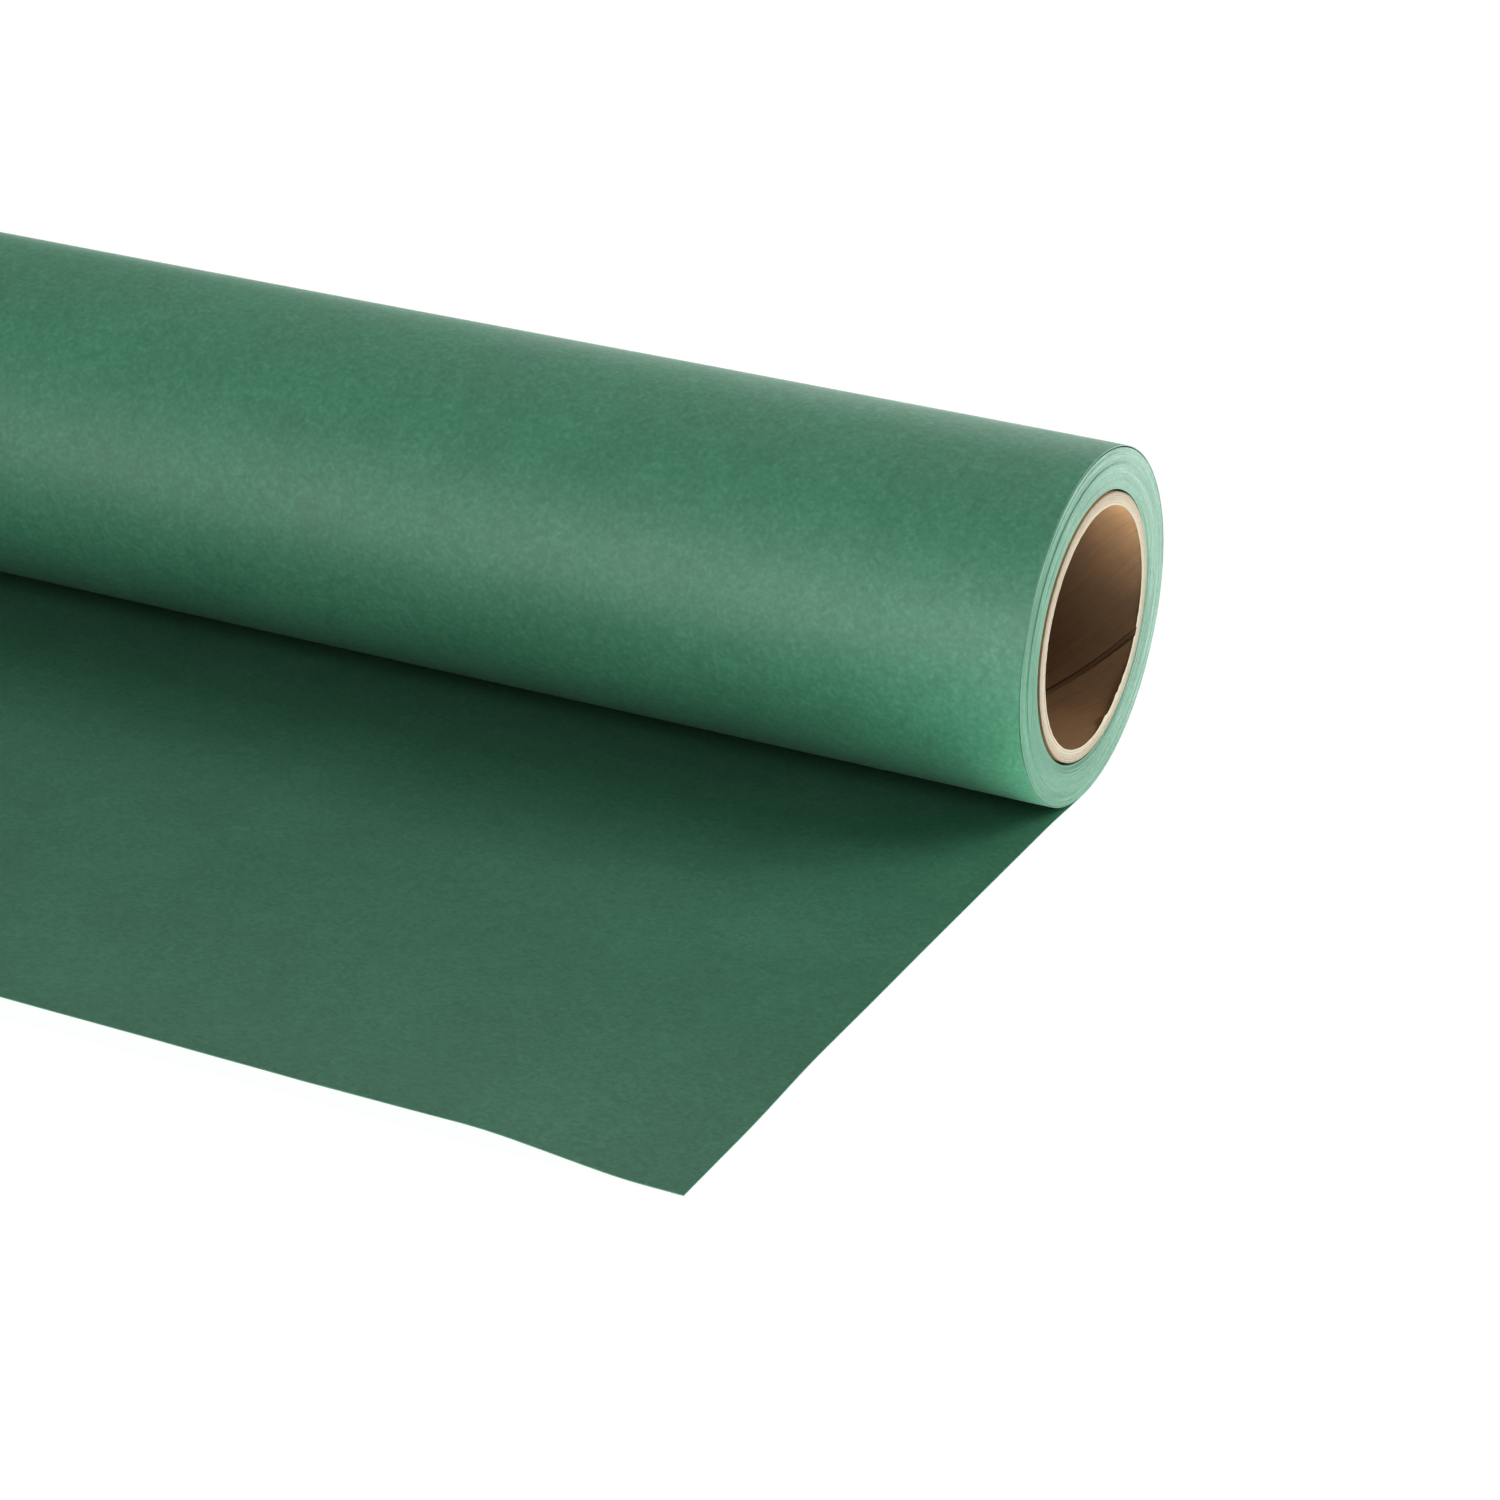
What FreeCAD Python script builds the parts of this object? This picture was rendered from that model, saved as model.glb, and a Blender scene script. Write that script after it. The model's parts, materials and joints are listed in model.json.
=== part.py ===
import FreeCAD, Part
import os

import Sketcher
from FreeCAD import Vector

# Backdrop paper roll: a sheet of seamless paper wound on a paperboard tube of seven plies,
# with its free end paid out on the floor.
#
# +X is the roll's axis, +Z is up, and the free end runs out towards -Y.
# The origin is the middle of the tube's bore. Lengths are millimetres, angles degrees.

SIZES = {
    # paper
    "roll_width": 1350.0,  # the paper's width, and the tube is cut flush with it
    "paper_length": 11000.0,
    "free_length": 192.5,  # paid out on the floor, from under the axis
    "paper_caliper": 0.19,
    "winding_slack": 0.008,  # air between two turns of the wound paper
    # tube
    "bore_dia": 54.0,
    "ply_count": 7,
    "ply_thickness": 0.38,
    "glue_line": 0.02,
    # how the pieces meet
    "core_clearance": 0.5,  # from the tube to the first turn
    "turn_clearance": 0.2,  # from the wound pack to the last turn around it
    "lap_clearance": 0.03,  # from the free sheet to the last turn that laps it
    # how far each band of turns stands back from the +X end, and how deep the band is
    "sheet_recess": 0.5,  # the free sheet and the last turn
    "rim_band": 1.2,
    "rim_recess": 0.5,
    "second_band": 2.2,
    "second_recess": 0.4,
    "face_recess": 0.0,
    "start_band": 2.0,
    "start_recess": 0.3,
    # tape that starts the paper on the tube
    "tape_count": 3,
    "tape_width": 48.0,
    "tape_spacing": 420.0,
    "tape_thickness": 0.15,
    "tape_wrap": 84.0,
}

# The same sizes as expressions on the sheet, for the sketches and features.
TUBE_RADIUS = (
    "(Sizes.bore_dia / 2 + Sizes.ply_count * Sizes.ply_thickness"
    " + (Sizes.ply_count - 1) * Sizes.glue_line)"
)
FIRST_TURN = f"({TUBE_RADIUS} + Sizes.core_clearance)"
WOUND_LENGTH = "(Sizes.paper_length - Sizes.free_length)"
TURN_PITCH = "(Sizes.paper_caliper + Sizes.winding_slack)"
ROLL_RADIUS = f"sqrt({FIRST_TURN} ^ 2 + {TURN_PITCH} * {WOUND_LENGTH} / pi)"
PACK_RADIUS = f"({ROLL_RADIUS} - 2 * Sizes.paper_caliper - Sizes.turn_clearance)"

doc = FreeCAD.newDocument("BackdropPaperRoll")


def make_sheet():
    """The spreadsheet of driving dimensions."""
    sheet = doc.addObject("Spreadsheet::Sheet", "Sizes")
    for row, (name, value) in enumerate(SIZES.items(), start=1):
        sheet.set(f"A{row}", name)
        sheet.set(f"B{row}", str(value))
        sheet.setAlias(f"B{row}", name)
    doc.recompute()
    return sheet


SHEET = make_sheet()


def value(expression):
    """The number that an expression on the sheet gives."""
    return float(SHEET.evalExpression(expression))


def new_body(label):
    body = doc.addObject("PartDesign::Body", label)
    body.Label = label
    return body


def new_sketch(body, role, name):
    """A sketch on one of the body's own origin planes."""
    sketch = body.newObject("Sketcher::SketchObject", name)
    plane = next(item for item in body.Origin.OriginFeatures if item.Role == role)
    sketch.AttachmentSupport = (plane, [""])
    sketch.MapMode = "FlatFace"
    return sketch


def bind(sketch, constraint, expression):
    """Adds a constraint whose size comes from the sheet."""
    index = sketch.addConstraint(constraint)
    sketch.setExpression(f"Constraints[{index}]", expression)


def draw_circle(sketch, radius):
    """A circle around the sketch's origin."""
    circle = sketch.addGeometry(Part.Circle(Vector(0, 0, 0), Vector(0, 0, 1), value(radius)), False)
    sketch.addConstraint(Sketcher.Constraint("Coincident", circle, 3, -1, 1))
    bind(sketch, Sketcher.Constraint("Radius", circle, value(radius)), radius)


def draw_polygon(sketch, corners):
    """A closed outline whose corners are pairs of expressions."""
    points = [Vector(value(across), value(up), 0) for across, up in corners]
    count = len(points)
    for i in range(count):
        sketch.addGeometry(Part.LineSegment(points[i], points[(i + 1) % count]), False)
    for i in range(count):
        sketch.addConstraint(Sketcher.Constraint("Coincident", i, 2, (i + 1) % count, 1))
    for i, (across, up) in enumerate(corners):
        bind(sketch, Sketcher.Constraint("DistanceX", -1, 1, i, 1, points[i].x), across)
        bind(sketch, Sketcher.Constraint("DistanceY", -1, 1, i, 1, points[i].y), up)


def pad_along_axis(body, sketch, length):
    """Pads a cross-section to both sides of the roll's middle."""
    pad = body.newObject("PartDesign::Pad", "Length")
    pad.Profile = sketch
    pad.SideType = "Symmetric"
    pad.setExpression("Length", length)
    return pad


def tube_ply(label, order):
    """One ply of the tube, counted from the bore."""
    inner = f"(Sizes.bore_dia / 2 + {order} * (Sizes.ply_thickness + Sizes.glue_line))"
    outer = f"({inner} + Sizes.ply_thickness)"
    body = new_body(label)
    ring = new_sketch(body, "YZ_Plane", "Ring")
    draw_circle(ring, inner)
    draw_circle(ring, outer)
    pad_along_axis(body, ring, "Sizes.roll_width")
    return body


def leader_tape():
    """Strips of tape on the tube, under the start of the first turn."""
    half_wrap = SHEET.tape_wrap / 2
    inner = value(TUBE_RADIUS)
    outer = inner + SHEET.tape_thickness
    strips = []
    for i in range(int(SHEET.tape_count)):
        middle = (i - (SHEET.tape_count - 1) / 2) * SHEET.tape_spacing
        edge = Part.LineSegment(Vector(0, 0, inner), Vector(0, 0, outer)).toShape()
        edge.rotate(Vector(0, 0, 0), Vector(1, 0, 0), -half_wrap)
        edge.translate(Vector(middle - SHEET.tape_width / 2, 0, 0))
        wall = edge.revolve(Vector(0, 0, 0), Vector(1, 0, 0), 2 * half_wrap)
        strips.append(wall.extrude(Vector(SHEET.tape_width, 0, 0)))
    tape = doc.addObject("Part::Feature", "leader_tape")
    tape.Label = "leader_tape"
    tape.Shape = Part.makeCompound(strips)
    return tape


def wound_pack():
    """The turns between the tube and the last turn, with bands that stand out or sink at the ends."""
    bands = [
        (f"({FIRST_TURN} + Sizes.start_band)", "Sizes.start_recess"),
        (f"({PACK_RADIUS} - Sizes.rim_band - Sizes.second_band)", "Sizes.face_recess"),
        (f"({PACK_RADIUS} - Sizes.rim_band)", "Sizes.second_recess"),
        (PACK_RADIUS, "Sizes.rim_recess"),
    ]
    # Every turn is one paper width wide, so a band that sinks at +X stands out at -X.
    corners = []
    below = FIRST_TURN
    for above, recess in bands:
        end = f"(Sizes.roll_width / 2 - {recess})"
        corners += [(end, below), (end, above)]
        below = above
    for above, recess in reversed(bands):
        end = f"(-Sizes.roll_width / 2 - {recess})"
        index = bands.index((above, recess))
        below = bands[index - 1][0] if index else FIRST_TURN
        corners += [(end, above), (end, below)]
    body = new_body("wound_pack")
    profile = new_sketch(body, "XZ_Plane", "TurnBands")
    draw_polygon(profile, corners)
    turned = body.newObject("PartDesign::Revolution", "Wind")
    turned.Profile = profile
    turned.ReferenceAxis = (profile, ["H_Axis"])
    turned.Angle = 360
    return body


def last_turn():
    """The outermost turn: up the back from the floor, over the top and down onto the free sheet."""
    lift = "((Sizes.paper_caliper + Sizes.lap_clearance) / 2)"
    rise = value(lift)
    radius = value(ROLL_RADIUS)
    caliper = SHEET.paper_caliper
    body = new_body("last_turn")
    section = new_sketch(body, "YZ_Plane", "Spiral")

    def half_circle(centre, reach, side):
        arc = Part.Arc(
            Vector(0, centre - reach, 0), Vector(side * reach, centre, 0), Vector(0, centre + reach, 0)
        )
        return section.addGeometry(arc, False)

    back_outer = half_circle(0, radius, 1)
    back_inner = half_circle(0, radius - caliper, 1)
    front_outer = half_circle(rise, radius - rise, -1)
    front_inner = half_circle(rise, radius - rise - caliper, -1)
    start = section.addGeometry(
        Part.LineSegment(Vector(0, -radius, 0), Vector(0, caliper - radius, 0)), False
    )
    end = section.addGeometry(
        Part.LineSegment(Vector(0, 2 * rise - radius, 0), Vector(0, 2 * rise + caliper - radius, 0)), False
    )

    # An arc keeps its ends in counter-clockwise order: the back ones start at the floor,
    # the front ones at the top.
    for first, first_end, second, second_end in (
        (start, 1, back_outer, 1),
        (start, 2, back_inner, 1),
        (back_outer, 2, front_outer, 1),
        (back_inner, 2, front_inner, 1),
        (front_outer, 2, end, 1),
        (front_inner, 2, end, 2),
    ):
        section.addConstraint(Sketcher.Constraint("Coincident", first, first_end, second, second_end))
    for arc in (back_outer, back_inner):
        section.addConstraint(Sketcher.Constraint("Coincident", arc, 3, -1, 1))
    section.addConstraint(Sketcher.Constraint("Coincident", front_inner, 3, front_outer, 3))
    section.addConstraint(Sketcher.Constraint("PointOnObject", front_outer, 3, -2))
    for geometry, point in (
        (back_outer, 1),
        (back_outer, 2),
        (back_inner, 1),
        (back_inner, 2),
        (front_outer, 2),
        (front_inner, 2),
    ):
        section.addConstraint(Sketcher.Constraint("PointOnObject", geometry, point, -2))
    bind(section, Sketcher.Constraint("Radius", back_outer, radius), ROLL_RADIUS)
    bind(
        section,
        Sketcher.Constraint("Radius", back_inner, radius - caliper),
        f"{ROLL_RADIUS} - Sizes.paper_caliper",
    )
    bind(section, Sketcher.Constraint("DistanceY", -1, 1, front_outer, 3, rise), lift)
    pad_along_axis(body, section, "Sizes.roll_width")
    body.setExpression("Placement.Base.x", "-Sizes.sheet_recess")
    return body


def free_sheet():
    """The paid-out end, flat on the floor from under the axis towards -Y."""
    sheet = doc.addObject("Part::Box", "free_sheet")
    sheet.Label = "free_sheet"
    sheet.setExpression("Length", "Sizes.roll_width")
    sheet.setExpression("Width", "Sizes.free_length")
    sheet.setExpression("Height", "Sizes.paper_caliper")
    sheet.setExpression("Placement.Base.x", "-Sizes.roll_width / 2 - Sizes.sheet_recess")
    sheet.setExpression("Placement.Base.y", "-Sizes.free_length")
    sheet.setExpression("Placement.Base.z", f"-{ROLL_RADIUS}")
    return sheet


def tube_plies():
    """The tube's plies from the bore outwards."""
    outermost = int(SHEET.ply_count) - 1
    plies = []
    for order in range(outermost + 1):
        if order == 0:
            label = "core_liner_ply"
        elif order == outermost:
            label = "core_outer_ply"
        else:
            label = f"core_body_ply_{order}"
        plies.append(tube_ply(label, order))
    return plies


def check_model(pieces):
    """Stops before anything is written if a feature failed or a piece isn't a sound solid."""
    doc.recompute()
    failed = [item.Name for item in doc.Objects if {"Invalid", "Error"} & set(item.State)]
    if failed:
        raise RuntimeError(f"features that failed: {failed}")
    for piece in pieces:
        shape = piece.Shape
        if shape.isNull() or not shape.isValid() or not shape.Solids:
            raise RuntimeError(f"{piece.Label} is not a sound solid")


pieces = tube_plies() + [leader_tape(), wound_pack(), last_turn(), free_sheet()]
check_model(pieces)

os.makedirs("parts", exist_ok=True)
for piece in pieces:
    piece.Shape.exportStep(f"parts/{piece.Label}.step")
    print(f"{piece.Label}: {len(piece.Shape.Solids)} solid(s), {piece.Shape.Volume:.1f} mm3")
print(f"roll radius {value(ROLL_RADIUS):.3f} mm, pack radius {value(PACK_RADIUS):.3f} mm")
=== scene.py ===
import json
import math

import bpy
import numpy as np
from mathutils import Matrix, Vector, noise


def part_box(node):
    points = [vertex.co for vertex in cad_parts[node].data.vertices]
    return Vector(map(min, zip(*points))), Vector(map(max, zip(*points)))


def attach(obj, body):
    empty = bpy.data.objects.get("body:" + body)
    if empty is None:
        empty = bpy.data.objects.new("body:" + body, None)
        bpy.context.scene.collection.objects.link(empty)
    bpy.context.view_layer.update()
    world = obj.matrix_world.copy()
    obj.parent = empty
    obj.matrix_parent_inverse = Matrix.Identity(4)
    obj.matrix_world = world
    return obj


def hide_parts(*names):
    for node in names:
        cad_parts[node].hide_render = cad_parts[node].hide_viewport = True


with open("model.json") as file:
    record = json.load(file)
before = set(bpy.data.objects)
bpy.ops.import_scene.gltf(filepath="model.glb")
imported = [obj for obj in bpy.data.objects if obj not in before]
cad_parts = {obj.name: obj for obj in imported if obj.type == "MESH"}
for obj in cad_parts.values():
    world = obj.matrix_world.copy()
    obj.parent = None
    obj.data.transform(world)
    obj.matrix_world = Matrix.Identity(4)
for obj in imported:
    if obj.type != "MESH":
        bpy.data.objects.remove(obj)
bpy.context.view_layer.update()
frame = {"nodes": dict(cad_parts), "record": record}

# Backdrop paper roll: the sheet with its last turn, the wound turns and the spiral-wound tube.
# +X is the roll's axis, the free end of the sheet runs out towards -Y, and +Z is up.

MM = 0.001


def mount(name):
    return next(m for m in frame["record"]["mounts"] if m["name"] == name)


# Sizes that the frame gives
SHEET_LOW, SHEET_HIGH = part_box("free_sheet")
FLOOR = SHEET_LOW.z
ROLL_RADIUS = -FLOOR
CALIPER = SHEET_HIGH.z - SHEET_LOW.z
FREE_LENGTH = SHEET_HIGH.y - SHEET_LOW.y
HALF_WIDTH = (SHEET_HIGH.x - SHEET_LOW.x) / 2
SHEET_RECESS = HALF_WIDTH - SHEET_HIGH.x
BORE_RADIUS = mount("core_bore")["dims"]["r_mm"] * MM

# Sizes of the build that the frame doesn't hold
LAP_CLEARANCE = 0.03 * MM
LAP_RISE = (CALIPER + LAP_CLEARANCE) / 2
PAPER_LENGTH = FREE_LENGTH + math.pi * (2 * ROLL_RADIUS - LAP_RISE)
WOUND_RADIUS = ROLL_RADIUS - 2 * CALIPER - 1.5 * LAP_CLEARANCE
CORE_CLEARANCE = 0.5 * MM
TURN_PITCH = 0.198 * MM
PLY_THICKNESS = 0.38 * MM
GLUE_GAP = 0.02 * MM
PLY_STEP = PLY_THICKNESS + GLUE_GAP
PLY_COUNT = 7
PLY_LEAD = 145 * MM
SEAM_GAP = 1.4 * MM
SEAM_ANGLE = math.radians(-23)
TUBE_RADIUS = BORE_RADIUS + PLY_COUNT * PLY_STEP - GLUE_GAP
FIRST_TURN = TUBE_RADIUS + CORE_CLEARANCE

# How far the tube's sawn ends stand back from the roll's full width
SAW_RECESS = 0.06 * MM
# How far every wound turn's edge is set along X from true, before its bands, drift and lean
BASE_RECESS = 0.05 * MM


# ---------------------------------------------------------------- shapes


def wander(x, y=0.0, z=0.0):
    """Smooth noise from about -1 to 1, the same on every run."""
    return noise.noise(Vector((x, y, z)))


def ease(low, high, value):
    """0 below low, 1 above high, and smooth between."""
    t = np.clip((value - low) / (high - low), 0, 1)
    return t * t * (3 - 2 * t)


def end_stations(first, growth, widest):
    """Places along the roll, close together at both ends and wider apart in the middle."""
    inward = [0.0]
    step = first
    while inward[-1] + step < HALF_WIDTH:
        inward.append(inward[-1] + step)
        step = min(step * growth, widest)
    left = [-HALF_WIDTH + d for d in inward]
    return np.array(left + [-x for x in reversed(left)])


def grid_quads(rows, columns, start=0, flip=False):
    """The quads of a grid whose points are stored row by row."""
    row, column = np.meshgrid(np.arange(rows - 1), np.arange(columns - 1), indexing="ij")
    corner = (start + row * columns + column).ravel()
    quads = np.stack([corner, corner + 1, corner + columns + 1, corner + columns], axis=1)
    return quads[:, ::-1] if flip else quads


def make_piece(name, points, faces, finishes, finish_of_face, crease=30):
    """A mesh object with smooth faces, sharp where two meet at more than crease degrees."""
    mesh = bpy.data.meshes.new(name)
    mesh.from_pydata(np.asarray(points).tolist(), [], [list(map(int, f)) for f in faces])
    for finish in finishes:
        mesh.materials.append(finish)
    mesh.polygons.foreach_set("material_index", np.asarray(finish_of_face, dtype=np.int32))
    mesh.shade_smooth()
    mesh.set_sharp_from_angle(angle=math.radians(crease))
    mesh.update()
    piece = bpy.data.objects.new(name, mesh)
    bpy.context.scene.collection.objects.link(piece)
    return piece


def paper_path(distance):
    """Where the paper's outer side lies, and its outward direction, at a distance from the free edge.

    It runs along the floor, up the back of the roll, over the top and down onto itself.
    """
    back = math.pi * ROLL_RADIUS
    along = distance - FREE_LENGTH
    if along < 0:
        return (along, FLOOR), (0.0, -1.0)
    if along < back:
        radius, centre, angle = ROLL_RADIUS, 0.0, -math.pi / 2 + along / ROLL_RADIUS
    else:
        radius, centre = ROLL_RADIUS - LAP_RISE, LAP_RISE
        angle = math.pi / 2 + min((along - back) / radius, math.pi)
    out = (math.cos(angle), math.sin(angle))
    return (radius * out[0], centre + radius * out[1]), out


def sheet_lift(x, y):
    """How far the free sheet stands off the floor: a curl along its front edge that dies at +X."""
    from_front = y + FREE_LENGTH
    from_corner = SHEET_HIGH.x - x
    curl = 2.9 * MM * ease(8 * MM, 48 * MM, from_corner) * (1 - ease(0, 46 * MM, from_front)) ** 2
    curl *= 1 + 0.25 * wander(x / 0.11, 3.0)
    swell = 0.35 * MM * (0.5 + 0.5 * wander(x / 0.16, y / 0.07, 5.0))
    return curl + swell * ease(5 * MM, 45 * MM, -y) * ease(0, 30 * MM, from_front)


def turn_ripple(x, angle):
    """How far the last turn stands off a true cylinder."""
    from_rim = HALF_WIDTH - abs(x)
    c, s = math.cos(angle), math.sin(angle)
    ripple = 0.09 * MM * (0.7 + wander(x / 0.13, 2.2 * c, 2.2 * s))
    ripple += 0.03 * MM * (0.7 + wander(x / 0.03, 6 * c, 6 * s + 9))
    # The outermost turn has sprung a little at the +X rim, low on the front.
    round_it = (angle - math.radians(192)) / math.radians(16)
    along_it = (SHEET_HIGH.x - x) / (11 * MM)
    flare = 0.5 * MM * math.exp(-round_it * round_it - along_it * along_it)
    return ripple * ease(0, 6 * MM, from_rim) + flare - snug(angle)


def snug(angle):
    """How far the last turn draws in onto the wound turns, once it has left the floor."""
    s = math.sin(angle)
    if math.cos(angle) >= 0:
        return 0.13 * MM * ease(-1.0, -0.7, s)
    return max(0.0, 0.13 - 0.11 * (1 - s)) * MM


def edge_drift(x, y, out_y, distance):
    """How far the paper stands along X from true, at its two side edges and just inside them."""
    near_edge = 1 - min(1.0, (HALF_WIDTH - abs(x + SHEET_RECESS)) / (12 * MM))
    drift = 0.12 * MM * wander(distance / 0.045, 11.0) + 0.22 * MM * wander(distance / 0.15, 4.0)
    if x > 0 and distance <= FREE_LENGTH:
        # The free sheet draws in once it leaves the roll, and flares at its front corner.
        drift -= 0.5 * MM * (ease(0, 20 * MM, -y) - 1.7 * ease(130 * MM, 170 * MM, -y))
    elif x > 0:
        drift += 0.42 * MM * max(0.0, out_y)
    return drift * near_edge


def web_point(x, distance):
    """A point on the paper's outer side, and the outward direction there."""
    (y, z), (out_y, out_z) = paper_path(distance)
    px = x + edge_drift(x, y, out_y, distance)
    if distance > FREE_LENGTH:
        angle = math.atan2(out_z, out_y) % (2 * math.pi)
        lands = ease(0, 12 * MM, PAPER_LENGTH - distance) * ease(0, 12 * MM, distance - FREE_LENGTH)
        stand = turn_ripple(x, angle) * lands
    else:
        stand = -sheet_lift(x, y)
    if distance == 0:
        # the front edge was cut by hand
        y += 0.10 * MM * wander(x / 0.012, 8.0) + 0.12 * MM * wander(x / 0.05, 8.0)
    return np.array((px, y + out_y * stand, z + out_z * stand)), np.array((0.0, out_y, out_z))


def make_paper_web(face_finish, edge_finish, inner_finish):
    """The free sheet and the last turn: one strip of paper with its true thickness."""
    flat = np.linspace(0, FREE_LENGTH, 84)
    wound = np.linspace(FREE_LENGTH, PAPER_LENGTH, 166)[1:]
    distances = np.concatenate([flat, wound])
    stations = end_stations(first=0.5 * MM, growth=1.09, widest=14 * MM) - SHEET_RECESS
    rows, columns = len(distances), len(stations)
    outer = np.zeros((rows, columns, 3))
    inner = np.zeros((rows, columns, 3))
    for i, distance in enumerate(distances):
        for j, x in enumerate(stations):
            point, outward = web_point(x, distance)
            outer[i, j] = point
            inner[i, j] = point - CALIPER * outward
    count = rows * columns
    points = np.concatenate([outer.reshape(-1, 3), inner.reshape(-1, 3)])
    faces = [grid_quads(rows, columns, 0, flip=True), grid_quads(rows, columns, count)]
    # the cut edges all round
    ring = (
        [i * columns for i in range(rows)]
        + [(rows - 1) * columns + j for j in range(1, columns)]
        + [i * columns + columns - 1 for i in range(rows - 2, -1, -1)]
        + list(range(columns - 2, 0, -1))
    )
    edge = [(a, b, b + count, a + count) for a, b in zip(ring, ring[1:] + ring[:1])]
    faces.append(np.array(edge)[:, ::-1])
    finishes = [face_finish, inner_finish, edge_finish]
    finish = np.repeat(np.arange(3), [len(group) for group in faces])
    web = make_piece("paper_web", points, np.concatenate(faces), finishes, finish)
    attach(web, "web")
    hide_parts("free_sheet", "last_turn")


def turn_recess(radius, turn, angle):
    """How far a turn's edge stands back from the roll's +X end."""
    inward = WOUND_RADIUS - radius
    # three bands of turns, wound with the paper standing a little differently in each
    rim = 0.08 * MM * (1 - ease(1.1 * MM, 1.3 * MM, inward))
    outer = 0.26 * MM * (1 - ease(3.3 * MM, 3.7 * MM, inward))
    start = 0.32 * MM * ease(7.3 * MM, 9.4 * MM, inward)
    # what differs from turn to turn, and round each turn
    along = turn + angle / (2 * math.pi)
    drift = 0.07 * MM * wander(along * 0.31, 1.0)
    stagger = 0.045 * MM * wander(turn * 3.7, 2.6 * math.cos(angle), 2.6 * math.sin(angle))
    lean = 0.30 * MM * max(0.0, math.cos(angle)) * (1 - ease(0, 7 * MM, inward))
    return BASE_RECESS + rim + outer + start + drift + stagger - lean


def make_wound_paper(face_finish, edge_finish):
    """The wound turns: one long spiral whose cut edges show at both ends."""
    around = 300
    turns = int(round((WOUND_RADIUS - FIRST_TURN) / TURN_PITCH))
    pitch = (WOUND_RADIUS - FIRST_TURN) / turns
    paper = CALIPER / TURN_PITCH * pitch
    steps = (turns - 1) * around
    points = []
    for side in (1, -1):
        for step in range(steps + 1):
            angle = 2 * math.pi * (step % around) / around
            inside = FIRST_TURN + pitch * step / around
            x = side * HALF_WIDTH - turn_recess(inside, step // around, angle)
            for radius in (inside, inside + paper):
                points.append((x, radius * math.cos(angle), radius * math.sin(angle)))
    per_side = 2 * (steps + 1)
    # at each end, the paper's cut edge and the steps from one turn to the next
    step = np.arange(steps)
    cut_edge = np.stack([2 * step, 2 * step + 1, 2 * step + 3, 2 * step + 2], axis=1)
    lower = np.arange(steps - around)
    higher = lower + around
    risers = np.stack([2 * lower + 1, 2 * higher, 2 * higher + 2, 2 * lower + 3], axis=1)
    # between the ends, the inside of the first turn, the outside of the last one, the paper's two
    # cut ends, and the strips that close the spiral beside them
    first = np.arange(around)
    inside = np.stack([2 * first, 2 * first + 2, 2 * first + 2 + per_side, 2 * first + per_side], axis=1)
    last = np.arange(steps - around, steps)
    outside = np.stack([2 * last + 1, 2 * last + 1 + per_side, 2 * last + 3 + per_side, 2 * last + 3], axis=1)
    ends = []
    for a, b, flip in (
        (0, 1, True),
        (1, 2 * around, True),
        (2 * (steps - around) + 1, 2 * steps, False),
        (2 * steps, 2 * steps + 1, False),
    ):
        quad = (a, b, b + per_side, a + per_side)
        ends.append(quad[::-1] if flip else quad)
    faces = [cut_edge, (cut_edge + per_side)[:, ::-1], risers, (risers + per_side)[:, ::-1], inside, outside,
             np.array(ends)]
    finish = np.repeat([1, 1, 0, 0, 0, 0, 0], [len(group) for group in faces])
    wound = make_piece("wound_paper", points, np.concatenate(faces), [face_finish, edge_finish], finish)
    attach(wound, "roll")
    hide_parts("wound_pack")


# Each tuft's place and half width round the tube in degrees, and its size against the largest.
TUFTS = ((-52, 8, 1.0), (-70, 7, 0.9), (-15, 8, 0.4))


def burr(angle):
    """Torn fibres left by the saw: three tufts, all on one side, and a fine fray all round."""
    c, s = math.cos(angle), math.sin(angle)
    tufts = 0.0
    for degrees, width, size in TUFTS:
        off = math.degrees(math.remainder(angle - math.radians(degrees), 2 * math.pi)) / width
        tufts += size * math.exp(-off * off)
    ragged = 0.75 + 1.1 * wander(34 * c, 34 * s, 2.0)
    fine = 0.5 + 0.5 * wander(45 * c, 45 * s, 7.0)
    return MM * (0.12 * fine + 0.8 * tufts * max(0.0, ragged))


# Across a ply's sawn edge, flat in the middle and rounded over at both sides: share and dip.
PLY_EDGE = ((0.0, 0.05 * MM), (0.16, 0.0), (0.84, 0.0), (1.0, 0.05 * MM))


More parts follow.
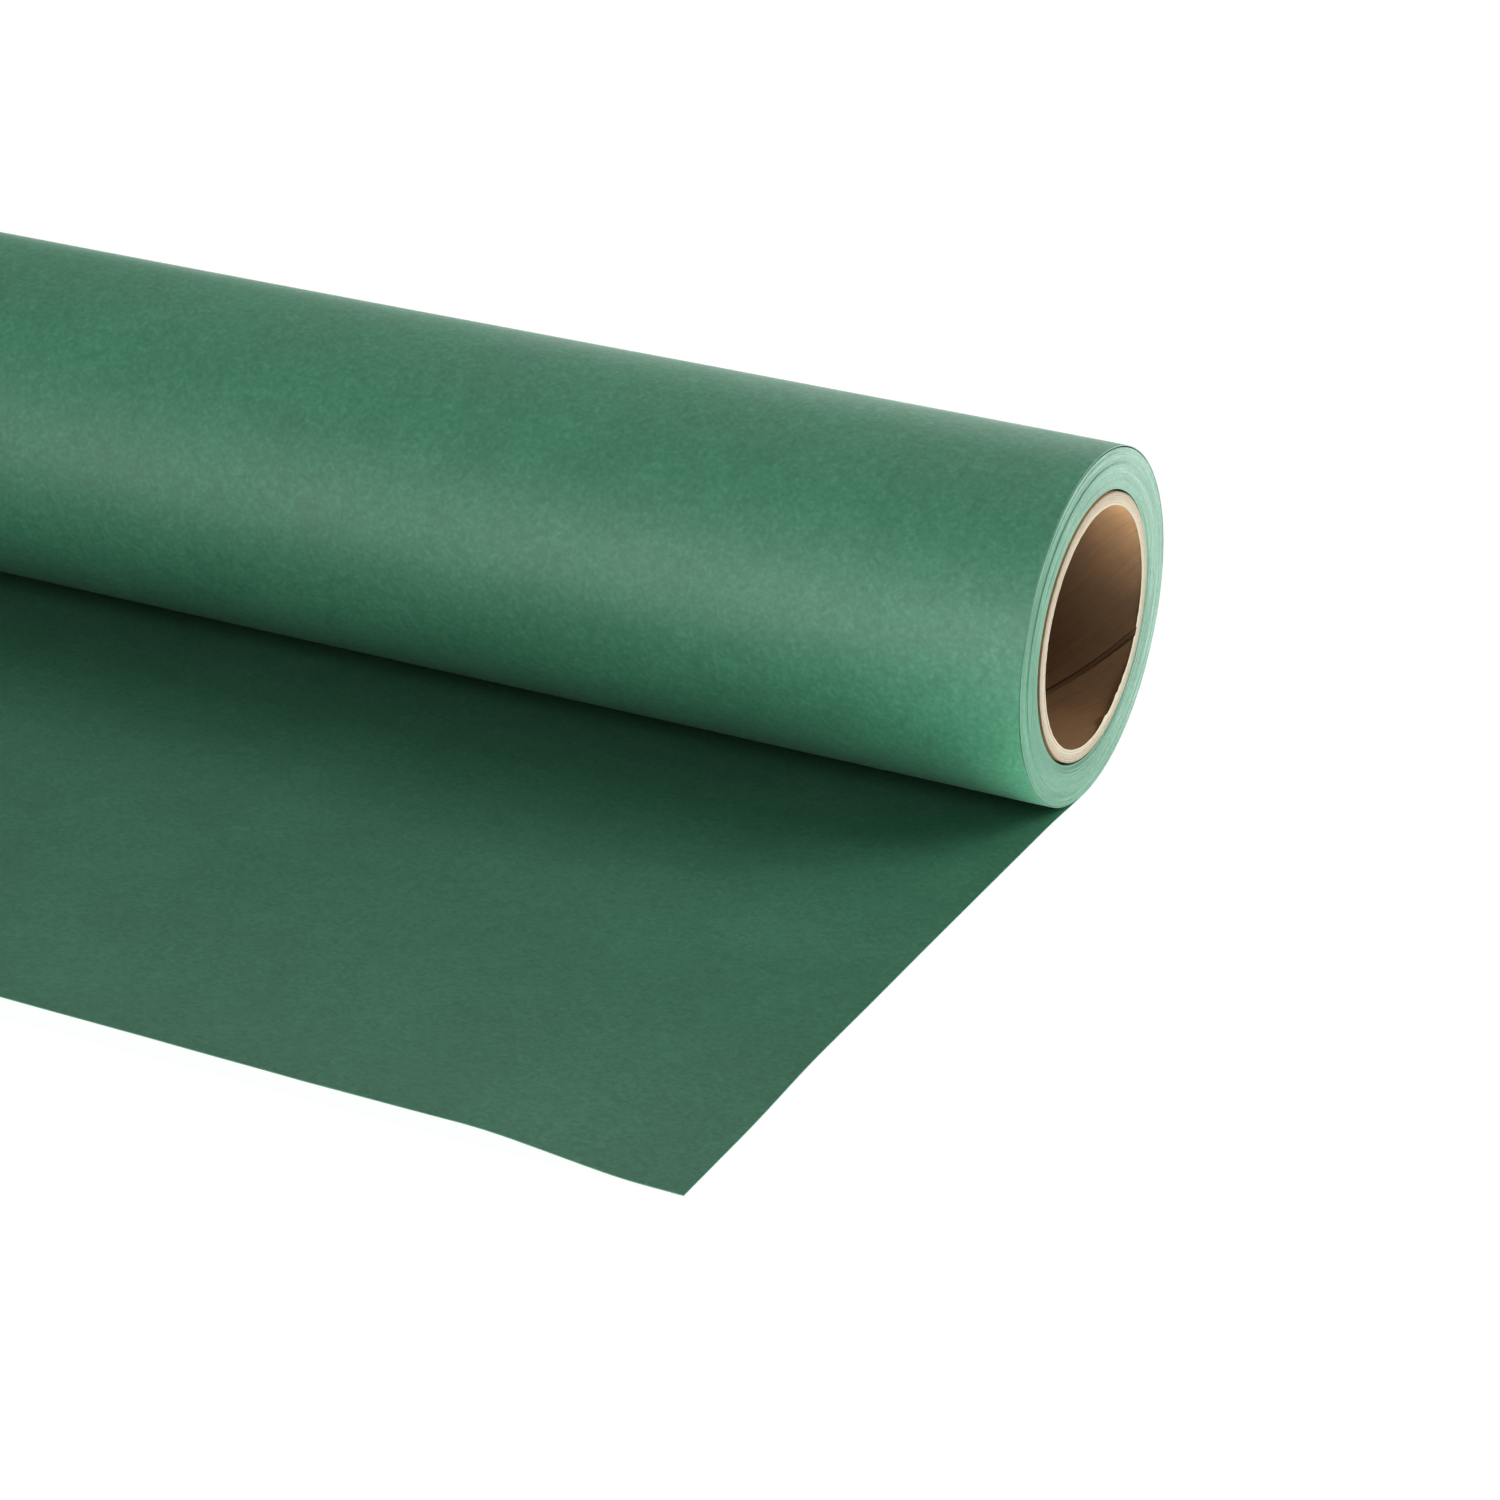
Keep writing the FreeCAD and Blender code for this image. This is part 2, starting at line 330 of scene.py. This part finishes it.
def make_tube_wall(board_finish, kraft_finish):
    """The plies outside the liner, sawn off together, with each ply's edge standing its own way."""
    around = 320
    samples = []
    for ply in range(1, PLY_COUNT):
        inner = BORE_RADIUS + ply * PLY_STEP
        for share, dip in PLY_EDGE:
            samples.append((inner + share * PLY_THICKNESS, dip, ply))
    points, faces = [], []
    for side in (1, -1):
        for radius, dip, ply in samples:
            for i in range(around):
                angle = 2 * math.pi * i / around
                c, s = math.cos(angle), math.sin(angle)
                rough = 0.045 * MM * wander(20 * c, 20 * s, 3.3 * ply + side)
                level = 0.05 * MM * wander(1.7 * c, 1.7 * s, 5.1 * ply + side)
                x = side * (HALF_WIDTH - SAW_RECESS - dip + rough + level)
                points.append((x, radius * c, radius * s))
    rings = len(samples)
    per_side = rings * around
    i = np.arange(around)
    following = (i + 1) % around
    for start, turned in ((0, False), (per_side, True)):
        for ring in range(rings - 1):
            low = start + ring * around
            high = low + around
            quads = np.stack([low + i, high + i, high + following, low + following], axis=1)
            faces.append(quads[:, ::-1] if turned else quads)
    for ring, turned in ((0, False), (rings - 1, True)):
        low = ring * around
        quads = np.stack([low + i, low + following, low + following + per_side, low + i + per_side], axis=1)
        faces.append(quads[:, ::-1] if turned else quads)
    faces = np.concatenate(faces)
    finish = [0] * (len(faces) - 2 * around) + [1] * (2 * around)
    wall = make_piece("tube_wall", points, faces, [board_finish, kraft_finish], finish, crease=50)
    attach(wall, "roll")
    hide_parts("core_outer_ply", *[f"core_body_ply_{n}" for n in range(1, PLY_COUNT - 1)])


def liner_swell(share, x, girth):
    """How far the strip's inner face stands in from true: a lifted edge, wrinkles and a soft wave."""
    from_edge = min(share, 1 - share) * girth
    # only one of the strip's two edges has lifted
    lifted = 0.16 * MM * math.exp(-from_edge / (1.6 * MM)) if share > 0.5 else 0
    wrinkle = 0.05 * MM * wander(share * 26, x / 0.10) * math.exp(-from_edge / (26 * MM))
    soft = 0.06 * MM * wander(share * 5, x / 0.05, 2.0)
    return lifted + wrinkle + soft


def make_tube_liner(kraft_finish, board_finish):
    """The inner ply: a strip wound right-handed, whose edges leave a slit along a helix."""
    around = 132
    stations = end_stations(first=0.35 * MM, growth=1.5, widest=4.0 * MM)
    radius_mid = BORE_RADIUS + PLY_THICKNESS / 2
    girth = 2 * math.pi * radius_mid
    slit = SEAM_GAP * math.hypot(PLY_LEAD, girth) / PLY_LEAD / radius_mid
    even = np.linspace(0, 1, around)
    # more points beside the slit, where the strip's edges curl
    shares = even - 0.035 * np.sin(4 * math.pi * (even - 0.5))
    points = []
    for outer in (False, True):
        for x in stations:
            seam = SEAM_ANGLE + 2 * math.pi * (x - HALF_WIDTH) / PLY_LEAD
            from_end = HALF_WIDTH - abs(x)
            for share in shares:
                angle = seam + slit / 2 + share * (2 * math.pi - slit)
                radius = BORE_RADIUS + (PLY_THICKNESS if outer else 0)
                px = x
                if not outer:
                    radius -= liner_swell(share, x, girth)
                if from_end < 0.1 * MM:
                    side = math.copysign(1, x)
                    torn = burr(angle * side)
                    px -= side * (SAW_RECESS - 0.30 * torn)
                    if not outer:
                        radius -= 1.8 * torn
                points.append((px, radius * math.cos(angle), radius * math.sin(angle)))
    rows, columns = len(stations), len(shares)
    count = rows * columns
    inner_quads = grid_quads(rows, columns, 0, flip=True)
    outer_quads = grid_quads(rows, columns, count)
    rim = []
    for row, flip in ((0, True), (rows - 1, False)):
        a = row * columns + np.arange(columns - 1)
        quads = np.stack([a, a + 1, a + 1 + count, a + count], axis=1)
        rim.append(quads[:, ::-1] if flip else quads)
    slit_sides = []
    for column, flip in ((0, False), (columns - 1, True)):
        a = column + np.arange(rows - 1) * columns
        quads = np.stack([a, a + columns, a + columns + count, a + count], axis=1)
        slit_sides.append(quads[:, ::-1] if flip else quads)
    faces = np.concatenate([inner_quads, outer_quads] + slit_sides + rim)
    sawn = sum(len(quads) for quads in rim)
    finish = [0] * (len(faces) - sawn) + [1] * sawn
    liner = make_piece("tube_liner", points, faces, [kraft_finish, board_finish], finish, crease=40)
    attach(liner, "roll")
    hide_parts("core_liner_ply")


# ---------------------------------------------------------------- finishes


def socket(group, name, direction, default=0.0):
    """Gives a node group a plain number as an input or an output."""
    made = group.interface.new_socket(name=name, in_out=direction, socket_type="NodeSocketFloat")
    made.default_value = default


def place(tree, kind, settings=None, **inputs):
    """Adds a node and sets or links its inputs.

    An input goes by its name, with _ for spaces, or as in0, in1 and so on by its number.
    """
    node = tree.nodes.new(kind)
    for name, setting in (settings or {}).items():
        setattr(node, name, setting)
    for name, given in inputs.items():
        key = name.replace("_", " ")
        by_number = key.startswith("in") and key[2:].isdigit()
        target = node.inputs[int(key[2:]) if by_number else key]
        if isinstance(given, bpy.types.NodeSocket):
            tree.links.new(given, target)
        else:
            target.default_value = given
    return node


def maths(tree, operation, *values):
    """The result of a Math node."""
    return place(
        tree, "ShaderNodeMath", {"operation": operation}, **{f"in{i}": v for i, v in enumerate(values)}
    ).outputs[0]


def new_group(name):
    group = bpy.data.node_groups.new(name, "ShaderNodeTree")
    return group, group.nodes.new("NodeGroupInput"), group.nodes.new("NodeGroupOutput")


def use_group(tree, group, **inputs):
    return place(tree, "ShaderNodeGroup", {"node_tree": group}, **inputs)


def object_place(tree):
    """The point's place in the roll's own frame, in metres."""
    return tree.nodes.new("ShaderNodeTexCoord").outputs["Object"]


def from_axis(tree):
    """The point's distance from the roll's axis, and its own Y and Z."""
    parts = place(tree, "ShaderNodeSeparateXYZ", Vector=object_place(tree))
    y, z = parts.outputs["Y"], parts.outputs["Z"]
    squares = maths(tree, "ADD", maths(tree, "MULTIPLY", y, y), maths(tree, "MULTIPLY", z, z))
    return maths(tree, "SQRT", squares), y, z


def make_paper_fibres():
    """Fibres matted into paper or board: a fine felt, stray longer fibres, and a cloudy look-through."""
    group, given, out = new_group("paper fibres")
    socket(group, "Fibre size", "INPUT", default=0.6 * MM)
    socket(group, "Cloud size", "INPUT", default=20 * MM)
    socket(group, "Felt", "OUTPUT")
    socket(group, "Clouds", "OUTPUT")
    where = object_place(group)
    fine = maths(group, "DIVIDE", 1.0, given.outputs["Fibre size"])
    half = maths(group, "MULTIPLY", fine, 0.37)
    coarse = maths(group, "DIVIDE", 1.0, given.outputs["Cloud size"])
    felt = place(group, "ShaderNodeTexNoise", Vector=where, Scale=fine, Detail=3.0, Roughness=0.65)
    stray = place(group, "ShaderNodeTexNoise", Vector=where, Scale=half, Detail=2.0, Distortion=1.4)
    clouds = place(group, "ShaderNodeTexNoise", Vector=where, Scale=coarse, Detail=4.0, Roughness=0.6)
    felt_part = maths(group, "MULTIPLY", felt.outputs[0], 0.6)
    stray_part = maths(group, "MULTIPLY", stray.outputs[0], 0.4)
    group.links.new(maths(group, "ADD", felt_part, stray_part), out.inputs["Felt"])
    group.links.new(clouds.outputs[0], out.inputs["Clouds"])
    return group


def make_turn_rings():
    """Rings about the roll's axis that differ from turn to turn, for cut edges wound in a spiral."""
    group, given, out = new_group("turn rings")
    socket(group, "Ring width", "INPUT", default=0.2 * MM)
    socket(group, "Rings", "OUTPUT")
    socket(group, "Bands", "OUTPUT")
    radius, y, z = from_axis(group)
    turn = maths(group, "DIVIDE", radius, given.outputs["Ring width"])
    wide_turn = maths(group, "MULTIPLY", turn, 0.22)
    swing = maths(group, "MULTIPLY", y, 55.0)
    lean = maths(group, "MULTIPLY", z, 55.0)
    fine = place(group, "ShaderNodeCombineXYZ", X=turn, Y=swing, Z=lean)
    wide = place(group, "ShaderNodeCombineXYZ", X=wide_turn, Y=swing, Z=lean)
    rings = place(group, "ShaderNodeTexNoise", Vector=fine.outputs[0], Scale=0.55, Detail=2.0)
    bands = place(group, "ShaderNodeTexNoise", Vector=wide.outputs[0], Scale=0.9, Detail=2.0)
    group.links.new(rings.outputs[0], out.inputs["Rings"])
    group.links.new(bands.outputs[0], out.inputs["Bands"])
    return group


def make_strip_streaks():
    """Streaks that run along a spiral-wound strip, broken at its seam as the real strip is.

    Seam distance is the share of a turn between the point and the seam, up to a half.
    """
    group, given, out = new_group("strip streaks")
    socket(group, "Lead", "INPUT", default=PLY_LEAD)
    socket(group, "Streaks", "OUTPUT")
    socket(group, "Seam distance", "OUTPUT")
    parts = place(group, "ShaderNodeSeparateXYZ", Vector=object_place(group))
    angle = maths(group, "ARCTAN2", parts.outputs["Z"], parts.outputs["Y"])
    along = maths(group, "SUBTRACT", parts.outputs["X"], HALF_WIDTH)
    turns = maths(group, "DIVIDE", along, given.outputs["Lead"])
    swept = maths(group, "DIVIDE", maths(group, "SUBTRACT", angle, SEAM_ANGLE), 2 * math.pi)
    across = maths(group, "FRACT", maths(group, "SUBTRACT", swept, turns))
    sideways = maths(group, "MULTIPLY", across, 150.0)
    lengthways = maths(group, "MULTIPLY", parts.outputs["X"], 60.0)
    line = place(group, "ShaderNodeCombineXYZ", X=sideways, Y=lengthways)
    streaks = place(group, "ShaderNodeTexNoise", Vector=line.outputs[0], Scale=1.0, Detail=4.0,
                    Roughness=0.65)
    group.links.new(streaks.outputs[0], out.inputs["Streaks"])
    group.links.new(maths(group, "PINGPONG", across, 0.5), out.inputs["Seam distance"])
    return group


def ramp(tree, factor, stops):
    """A colour ramp whose stops are (place, colour) pairs."""
    node = place(tree, "ShaderNodeValToRGB", Fac=factor)
    elements = node.color_ramp.elements
    while len(elements) < len(stops):
        elements.new(0.5)
    for element, (where, colour) in zip(elements, stops):
        element.position = where
        element.color = (*colour, 1.0)
    return node.outputs["Color"]


def spread(tree, factor, low, high, to_low, to_high):
    """Maps a range of a factor onto another range."""
    return place(tree, "ShaderNodeMapRange", Value=factor, From_Min=low, From_Max=high,
                 To_Min=to_low, To_Max=to_high).outputs[0]


def tint(tree, colour, amount):
    """A colour made lighter or darker by an amount around 1."""
    node = place(tree, "ShaderNodeVectorMath", {"operation": "SCALE"}, in0=colour)
    tree.links.new(amount, node.inputs["Scale"])
    return node.outputs[0]


def new_finish(name, **surface):
    """A material with one Principled BSDF, whose plain values are set on its own sockets."""
    material = bpy.data.materials.new(name)
    material.use_nodes = True
    tree = material.node_tree
    shader = tree.nodes["Principled BSDF"]
    for key, setting in surface.items():
        shader.inputs[key.replace("_", " ")].default_value = setting
    return material, tree, shader


def add_bump(tree, shader, height, depth, strength):
    bump = place(tree, "ShaderNodeBump", Strength=strength, Distance=depth, Height=height)
    tree.links.new(bump.outputs["Normal"], shader.inputs["Normal"])


FIBRES = make_paper_fibres()
RINGS = make_turn_rings()
STREAKS = make_strip_streaks()


def make_dyed_paper(name, depth):
    """The backdrop paper's coloured face: matte, mottled, with a soft calendered sheen. Depth scales the
    whole colour, and below 1 it is painted shade.
    """
    material, tree, shader = new_finish(name, Specular_IOR_Level=0.5, Sheen_Weight=0.04, Sheen_Roughness=0.5)
    fibres = use_group(tree, FIBRES, Fibre_size=1.1 * MM, Cloud_size=28 * MM)
    felt, clouds = fibres.outputs["Felt"], fibres.outputs["Clouds"]
    dye = ramp(tree, felt, [
        (0.32, (0.039, 0.200, 0.106)),
        (0.50, (0.056, 0.254, 0.139)),
        (0.70, (0.086, 0.326, 0.188)),
    ])
    # Depth below 1 darkens the whole face: painted shade.
    shade = spread(tree, clouds, 0.3, 0.7, 0.93 * depth, 1.07 * depth)
    roughness = spread(tree, clouds, 0.3, 0.7, 0.50, 0.60)
    tree.links.new(tint(tree, dye, shade), shader.inputs["Base Color"])
    tree.links.new(roughness, shader.inputs["Roughness"])
    add_bump(tree, shader, felt, 0.07 * MM, 0.6)
    return material


def make_cut_paper():
    """The paper's cut edge, paler than its dyed face, with rings where turns differ.

    It is painted paler on its back upper side and greener on its front lower side: painted light where the
    light falls from the back right, and painted shade away from it.
    """
    material, tree, shader = new_finish("cut paper edge", Specular_IOR_Level=0.3, Roughness=0.85)
    rings = use_group(tree, RINGS, Ring_width=0.2 * MM)
    fibres = use_group(tree, FIBRES, Fibre_size=0.7 * MM, Cloud_size=12 * MM)
    # Painted shade: the greener rings, for the front lower side, away from the light.
    shaded_side_rings = ramp(tree, rings.outputs["Rings"], [
        (0.25, (0.072, 0.180, 0.121)),
        (0.48, (0.098, 0.221, 0.152)),
        (0.75, (0.134, 0.270, 0.194)),
    ])
    # Painted light: the paler rings, for the back upper side, where the light falls.
    lit_side_rings = ramp(tree, rings.outputs["Rings"], [
        (0.25, (0.172, 0.284, 0.226)),
        (0.48, (0.208, 0.326, 0.262)),
        (0.75, (0.246, 0.368, 0.298)),
    ])
    # How far towards the back upper side a point lies, which picks painted light over painted shade.
    parts = place(tree, "ShaderNodeSeparateXYZ", Vector=object_place(tree))
    lean = maths(tree, "ADD", parts.outputs["Y"], maths(tree, "MULTIPLY", parts.outputs["Z"], 0.45))
    lit_side_share = spread(tree, lean, -30 * MM, 30 * MM, 0.0, 1.0)
    sided_edge_colour = place(tree, "ShaderNodeMix", {"data_type": "RGBA"}, in0=lit_side_share, in6=shaded_side_rings, in7=lit_side_rings).outputs[2]
    banded = tint(tree, sided_edge_colour, spread(tree, rings.outputs["Bands"], 0.3, 0.7, 0.88, 1.10))
    felted = tint(tree, banded, spread(tree, fibres.outputs["Felt"], 0.3, 0.7, 0.86, 1.14))
    tree.links.new(felted, shader.inputs["Base Color"])
    add_bump(tree, shader, fibres.outputs["Felt"], 0.08 * MM, 0.8)
    return material


def painted_light_near_ends(tree):
    """How much painted light the kraft gets, from 0 to 1: near each end, on its upper and lower sides, where
    light comes in at the bore's mouth.
    """
    parts = place(tree, "ShaderNodeSeparateXYZ", Vector=object_place(tree))
    depth = maths(tree, "SUBTRACT", HALF_WIDTH, maths(tree, "ABSOLUTE", parts.outputs["X"]))
    upper = spread(tree, parts.outputs["Z"], -4 * MM, 26 * MM, 0.0, 1.0)
    lower = spread(tree, parts.outputs["Z"], -14 * MM, -27 * MM, 0.0, 0.45)
    near_end = spread(tree, depth, 0.0, 24 * MM, 1.0, 0.0)
    return maths(tree, "MULTIPLY", maths(tree, "ADD", upper, lower), near_end)


def seam_glue_and_painted_shade(tree, seam_distance):
    """Darkening at the seam: glue and painted shade at both sides of its slit, in the slit's corners, with a
    fainter painted shade of a crease further out.
    """
    girth = 2 * math.pi * BORE_RADIUS
    half_slit = 0.5 * SEAM_GAP * math.hypot(1, girth / PLY_LEAD) / girth
    from_slit = maths(tree, "ABSOLUTE", maths(tree, "SUBTRACT", seam_distance, half_slit))
    from_crease = maths(tree, "ABSOLUTE", maths(tree, "SUBTRACT", seam_distance, 0.041))
    # Glue and painted shade, darkest at the slit's edges.
    glue_and_shade = spread(tree, from_slit, 0.0, 0.0018, 0.30, 1.0)
    # Painted shade of a crease, parallel to the seam.
    crease = spread(tree, from_crease, 0.0, 0.003, 0.90, 1.0)
    return maths(tree, "MULTIPLY", glue_and_shade, crease)


def make_kraft():
    """Brown kraft, streaked along the strip, with painted light near each end, and glue and painted shade
    beside the seam.
    """
    material, tree, shader = new_finish("kraft liner", Specular_IOR_Level=0.35)
    strip = use_group(tree, STREAKS)
    streaks = strip.outputs["Streaks"]
    fibres = use_group(tree, FIBRES, Fibre_size=0.7 * MM, Cloud_size=16 * MM)
    felt, clouds = fibres.outputs["Felt"], fibres.outputs["Clouds"]
    brown = ramp(tree, streaks, [
        (0.28, (0.124, 0.070, 0.032)),
        (0.52, (0.143, 0.083, 0.039)),
        (0.78, (0.166, 0.099, 0.048)),
    ])
    worn = tint(tree, brown, spread(tree, clouds, 0.3, 0.7, 0.90, 1.09))
    felted = tint(tree, worn, spread(tree, felt, 0.3, 0.7, 0.93, 1.07))
    # Painted light: the kraft is painted up to 3.8 times lighter near each end, above and below, where light
    # comes in at the bore's mouth.
    lit_near_ends = tint(tree, felted, spread(tree, painted_light_near_ends(tree), 0.0, 1.0, 1.0, 3.8))
    # Glue and painted shade beside the seam's slit, and painted shade along a crease.
    lined = tint(tree, lit_near_ends, seam_glue_and_painted_shade(tree, strip.outputs["Seam distance"]))
    tree.links.new(lined, shader.inputs["Base Color"])
    tree.links.new(spread(tree, streaks, 0.3, 0.7, 0.62, 0.78), shader.inputs["Roughness"])
    height = maths(tree, "ADD", streaks, maths(tree, "MULTIPLY", felt, 0.4))
    add_bump(tree, shader, height, 0.08 * MM, 0.8)
    return material


def make_board():
    """Sawn recycled board: cream beside the bore, pinkish tan further out, browner next to the paper."""
    material, tree, shader = new_finish("sawn board", Specular_IOR_Level=0.25, Roughness=0.9)
    rings = use_group(tree, RINGS, Ring_width=0.1 * MM)
    fibres = use_group(tree, FIBRES, Fibre_size=0.5 * MM, Cloud_size=8 * MM)
    radius = from_axis(tree)[0]
    outward = spread(tree, radius, BORE_RADIUS, TUBE_RADIUS, 0.0, 1.0)
    plies = ramp(tree, outward, [
        (0.0, (0.425, 0.385, 0.288)),
        (0.30, (0.412, 0.374, 0.280)),
        (0.46, (0.362, 0.312, 0.234)),
        (0.86, (0.342, 0.294, 0.220)),
        (0.97, (0.240, 0.190, 0.132)),
    ])
    lined = tint(tree, plies, spread(tree, rings.outputs["Rings"], 0.3, 0.7, 0.90, 1.08))
    felted = tint(tree, lined, spread(tree, fibres.outputs["Felt"], 0.3, 0.7, 0.90, 1.10))
    tree.links.new(felted, shader.inputs["Base Color"])
    add_bump(tree, shader, fibres.outputs["Felt"], 0.12 * MM, 0.8)
    return material


def make_masking_tape():
    """Crepe paper tape."""
    material, tree, shader = new_finish("masking tape", Specular_IOR_Level=0.4)
    fibres = use_group(tree, FIBRES, Fibre_size=0.8 * MM, Cloud_size=10 * MM)
    buff = ramp(tree, fibres.outputs["Clouds"], [
        (0.3, (0.62, 0.50, 0.30)),
        (0.7, (0.76, 0.66, 0.44)),
    ])
    tree.links.new(buff, shader.inputs["Base Color"])
    tree.links.new(spread(tree, fibres.outputs["Felt"], 0.3, 0.7, 0.55, 0.7), shader.inputs["Roughness"])
    add_bump(tree, shader, fibres.outputs["Felt"], 0.08 * MM, 0.8)
    return material


# ---------------------------------------------------------------- studio


def make_floor(glow):
    """A white floor that glows as a lit cove does, and is nearly plain white to the camera."""
    bpy.ops.mesh.primitive_plane_add(size=12.0, location=(0, 0, FLOOR - 0.1 * MM))
    floor = bpy.context.object
    floor.name = "studio_floor"
    material, tree, shader = new_finish("studio floor", Roughness=0.9, Specular_IOR_Level=0.1,
                                        Emission_Strength=glow)
    shader.inputs["Base Color"].default_value = (0.86, 0.86, 0.86, 1)
    shader.inputs["Emission Color"].default_value = (1, 1, 1, 1)
    # The camera sees plain white with a little of the floor's own shading, which keeps the shadow.
    plain = place(tree, "ShaderNodeEmission", Color=(1, 1, 1, 1), Strength=1.035)
    lit = place(tree, "ShaderNodeBsdfDiffuse", Color=(1, 1, 1, 1))
    shown = place(tree, "ShaderNodeMixShader", Fac=0.92, in1=lit.outputs[0], in2=plain.outputs[0])
    to_camera = tree.nodes.new("ShaderNodeLightPath").outputs["Is Camera Ray"]
    either = place(tree, "ShaderNodeMixShader", Fac=to_camera, in1=shader.outputs[0], in2=shown.outputs[0])
    tree.links.new(either.outputs[0], tree.nodes["Material Output"].inputs["Surface"])
    floor.data.materials.append(material)


def make_world(fill):
    """Even white light all round, and plain white where the camera looks past the floor."""
    world = bpy.data.worlds.new("studio")
    bpy.context.scene.world = world
    world.use_nodes = True
    tree = world.node_tree
    background = tree.nodes["Background"]
    background.inputs["Color"].default_value = (1, 1, 1, 1)
    path = tree.nodes.new("ShaderNodeLightPath")
    direct = maths(tree, "MAXIMUM", path.outputs["Is Camera Ray"], path.outputs["Is Transmission Ray"])
    tree.links.new(spread(tree, direct, 0, 1, fill, 1.0), background.inputs["Strength"])


def direction(azimuth, elevation):
    """The way out from the roll, by degrees round from its front towards +X and up from the floor."""
    a, e = math.radians(azimuth), math.radians(elevation)
    return Vector((math.sin(a) * math.cos(e), -math.cos(a) * math.cos(e), math.sin(e)))


def add_softbox(name, azimuth, elevation, distance, size, power, aim_x=-0.12, sheen_only=False):
    """A square area light that faces the roll's axis, at a place told from the roll's +X end."""
    aim = Vector((HALF_WIDTH + aim_x, 0, 0))
    away = direction(azimuth, elevation)
    lamp = bpy.data.lights.new(name, "AREA")
    lamp.size = size
    lamp.energy = power
    light = bpy.data.objects.new(name, lamp)
    light.location = aim + away * distance
    light.rotation_euler = (-away).to_track_quat("-Z", "Y").to_euler()
    light.visible_diffuse = not sheen_only
    light.visible_camera = False
    bpy.context.scene.collection.objects.link(light)


def make_camera():
    """Looks along the roll's visible end from its front right, from a little above."""
    aim = Vector((HALF_WIDTH - 82.2 * MM, 0, -47.5 * MM))
    away = direction(26.078, 25.320)
    distance = 1.0297
    field_of_view = math.radians(18.786)
    tilt = math.radians(0.899)
    data = bpy.data.cameras.new("camera")
    data.sensor_width = 36
    data.lens = data.sensor_width / 2 / math.tan(field_of_view / 2)
    data.clip_start = 0.02
    data.clip_end = 60
    camera = bpy.data.objects.new("camera", data)
    camera.location = aim + away * distance
    facing = (-away).to_track_quat("-Z", "Y").to_matrix()
    camera.rotation_euler = (facing @ Matrix.Rotation(tilt, 3, "Z")).to_euler()
    bpy.context.scene.collection.objects.link(camera)
    bpy.context.scene.camera = camera


# ---------------------------------------------------------------- the roll

dyed_paper = make_dyed_paper("dyed paper face", depth=1.0)
# Painted shade: the paper's inner face, which is the free sheet's upper side, is the same dyed paper painted
# darker.
shaded_inner_face = make_dyed_paper("dyed paper inner face", depth=0.69)
cut_paper = make_cut_paper()
kraft = make_kraft()
board = make_board()

make_wound_paper(dyed_paper, cut_paper)
make_paper_web(dyed_paper, cut_paper, shaded_inner_face)
make_tube_wall(board, kraft)
make_tube_liner(kraft, board)

tape = frame["nodes"]["leader_tape"]
tape.data.materials.clear()
tape.data.materials.append(make_masking_tape())

make_floor(glow=2.15)
make_world(fill=0.174)
add_softbox("front softbox", azimuth=-10, elevation=38, distance=2.0, size=1.0, power=5.5)
add_softbox("overhead softbox", azimuth=180, elevation=70, distance=1.4, size=1.0, power=2.7, aim_x=-0.55)
add_softbox("low back softbox", azimuth=180, elevation=20, distance=1.4, size=0.8, power=3.6, aim_x=-0.45)
add_softbox("back right softbox", azimuth=130, elevation=35, distance=2.0, size=1.0, power=8.1)
add_softbox("end softbox", azimuth=112, elevation=30, distance=2.0, size=0.9, power=15.5)
add_softbox("sheen strip", azimuth=-10, elevation=9, distance=2.0, size=0.8, power=20.0, sheen_only=True)
make_camera()

bpy.context.scene.view_settings.view_transform = "Standard"
